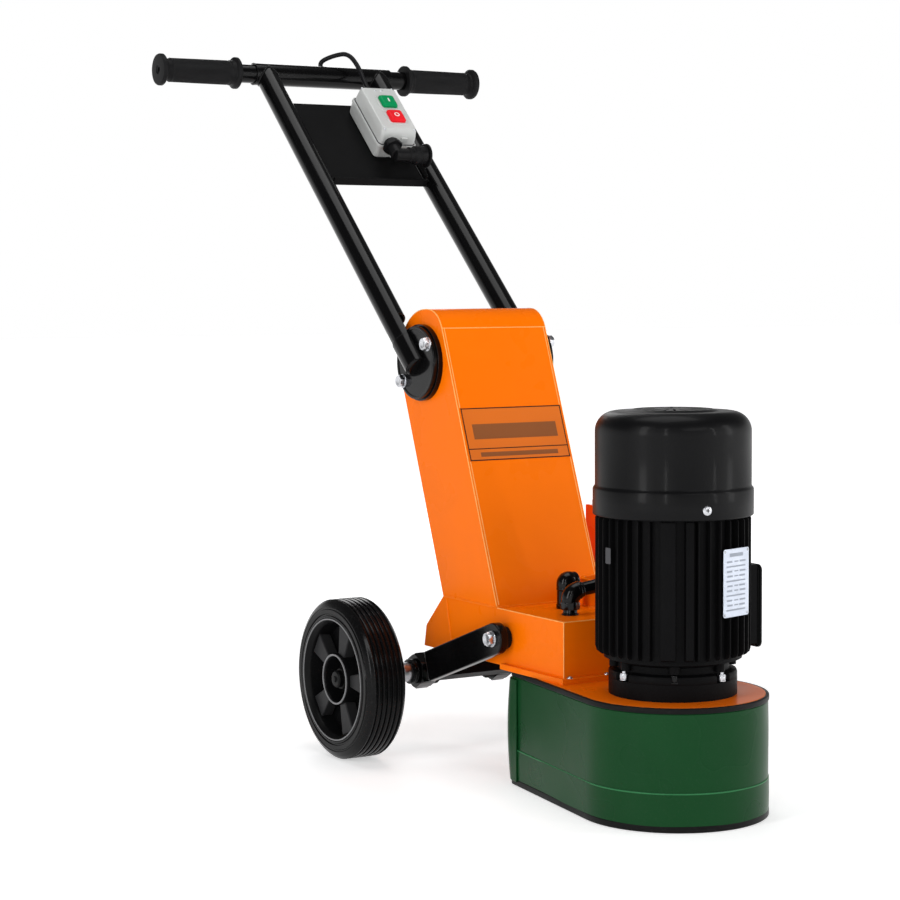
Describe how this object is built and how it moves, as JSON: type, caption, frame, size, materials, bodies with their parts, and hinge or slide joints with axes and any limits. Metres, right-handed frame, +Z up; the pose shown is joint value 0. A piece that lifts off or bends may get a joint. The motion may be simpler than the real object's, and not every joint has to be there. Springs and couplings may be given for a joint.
{
  "type": "floor grinder",
  "caption": "Walk-behind floor grinder with a vertical motor over a skirted grinding disc, a leaning column, rear wheels and a tilting handle with push buttons.",
  "frame": {"origin": "on the floor, under the centre of the machine seen from above", "axes": "+Z up, -Y towards the front of the machine (the motor and grinding disc), +Y towards the handle, +X to the right seen from the front view"},
  "size_m": [0.622, 1.1951, 1.1491],
  "materials": {
    "orange_paint": "glossy powder coat",
    "black_gloss_paint": "glossy powder coat",
    "black_matt_paint": "matt powder coat",
    "motor_casting": "black painted casting",
    "cowl_paint": "satin black",
    "skirt_rubber": "satin dark green",
    "trim_rubber": "satin black",
    "cable_sheath": "satin black",
    "zinc": "bright zinc plate",
    "dark_steel": "blackened steel",
    "machined_steel": "turned steel",
    "laminations": "varnished steel and copper",
    "fan_plastic": "moulded black",
    "black_plastic": "moulded satin black",
    "rim_plastic": "moulded satin black",
    "tyre": "rubber",
    "grip_rubber": "textured black",
    "label_film": "clear printed film",
    "plate_aluminium": "printed plate",
    "box_plastic": "light grey moulded",
    "green_plastic": "moulded green",
    "red_plastic": "moulded red",
    "segment_metal": "sintered metal"
  },
  "bodies": {
    "chassis": {"deck_plate": "orange_paint", "skirt_upper": "skirt_rubber", "skirt_lower": "skirt_rubber", "skirt_trims": "trim_rubber", "chassis_box": "orange_paint", "chassis_flange": "orange_paint", "flange_screws": "zinc", "column_shell": "orange_paint", "column_rear_cover": "orange_paint", "column_label": "label_film", "pivot_discs": "black_gloss_paint", "cable_cleat": "orange_paint", "dust_port": "orange_paint", "angle_gland": "black_plastic", "blank_elbow": "black_plastic", "motor_cable": "cable_sheath", "motor_housing": "motor_casting", "stator": "laminations", "upper_shield": "motor_casting", "lower_shield": "motor_casting", "motor_fasteners": "zinc", "fan_cowl": "cowl_paint", "data_plate": "plate_aluminium", "terminal_box": "motor_casting", "terminal_lid": "motor_casting", "motor_bearings": "machined_steel", "arm_pivot_bolts": "zinc"},
    "spindle": {"rotor": "laminations", "motor_shaft": "machined_steel", "cooling_fan": "fan_plastic", "drive_hub": "dark_steel", "grinding_disc": "black_matt_paint", "diamond_segments": "segment_metal", "disc_bolts": "zinc"},
    "wheel_frame": {"wheel_arm_left": "black_gloss_paint", "wheel_arm_right": "black_gloss_paint", "wheel_cross_plate": "black_gloss_paint", "wheel_axle": "machined_steel", "axle_hardware": "dark_steel"},
    "left_wheel": {"wheel_rim_left": "rim_plastic", "tyre_left": "tyre"},
    "right_wheel": {"wheel_rim_right": "rim_plastic", "tyre_right": "tyre"},
    "handle": {"handle_leg_left": "black_gloss_paint", "handle_leg_right": "black_gloss_paint", "handle_plates": "black_gloss_paint", "handle_bolts": "zinc", "cross_tube": "black_gloss_paint", "handlebar": "black_gloss_paint", "grip_left": "grip_rubber", "grip_right": "grip_rubber", "panel_plate": "black_matt_paint", "switch_base": "box_plastic", "switch_lid": "box_plastic", "contact_block": "black_plastic", "control_cable": "cable_sheath", "inlet_body": "black_plastic"},
    "start_button": {"start_button": "green_plastic"},
    "stop_button": {"stop_button": "red_plastic"},
    "inlet_flap": {"inlet_flap": "black_plastic"}
  },
  "joints": [
    {"name": "spindle_spin", "type": "hinge", "parent": "chassis", "child": "spindle", "pos_m": [0, -0.4635, 0.2], "axis": [0, 0, 1], "continuous": true},
    {"name": "handle_tilt", "type": "hinge", "parent": "chassis", "child": "handle", "pos_m": [0, 0.0585, 0.618], "axis": [1, 0, 0], "range_deg": [-15, 45]},
    {"name": "wheel_frame_swing", "type": "hinge", "parent": "chassis", "child": "wheel_frame", "pos_m": [0, -0.1795, 0.217], "axis": [1, 0, 0], "range_deg": [-8, 3]},
    {"name": "left_wheel_spin", "type": "hinge", "parent": "wheel_frame", "child": "left_wheel", "pos_m": [-0.1996, 0.1107, 0.125], "axis": [1, 0, 0], "continuous": true},
    {"name": "right_wheel_spin", "type": "hinge", "parent": "wheel_frame", "child": "right_wheel", "pos_m": [0.1996, 0.1107, 0.125], "axis": [1, 0, 0], "continuous": true},
    {"name": "start_press", "type": "slide", "parent": "handle", "child": "start_button", "axis": [0, 0.6884, -0.7254], "range_m": [0, 0.003], "stiffness_N_per_m": 900, "springref_m": -0.001},
    {"name": "stop_press", "type": "slide", "parent": "handle", "child": "stop_button", "axis": [0, 0.6884, -0.7254], "range_m": [0, 0.003], "stiffness_N_per_m": 900, "springref_m": -0.001},
    {"name": "inlet_flap_hinge", "type": "hinge", "parent": "handle", "child": "inlet_flap", "pos_m": [0.087, 0.37124, 0.97268], "axis": [0, -0.6884, 0.7254], "range_deg": [0, 100], "stiffness_Nm_per_rad": 0.04, "springref_deg": -28.65}
  ]
}
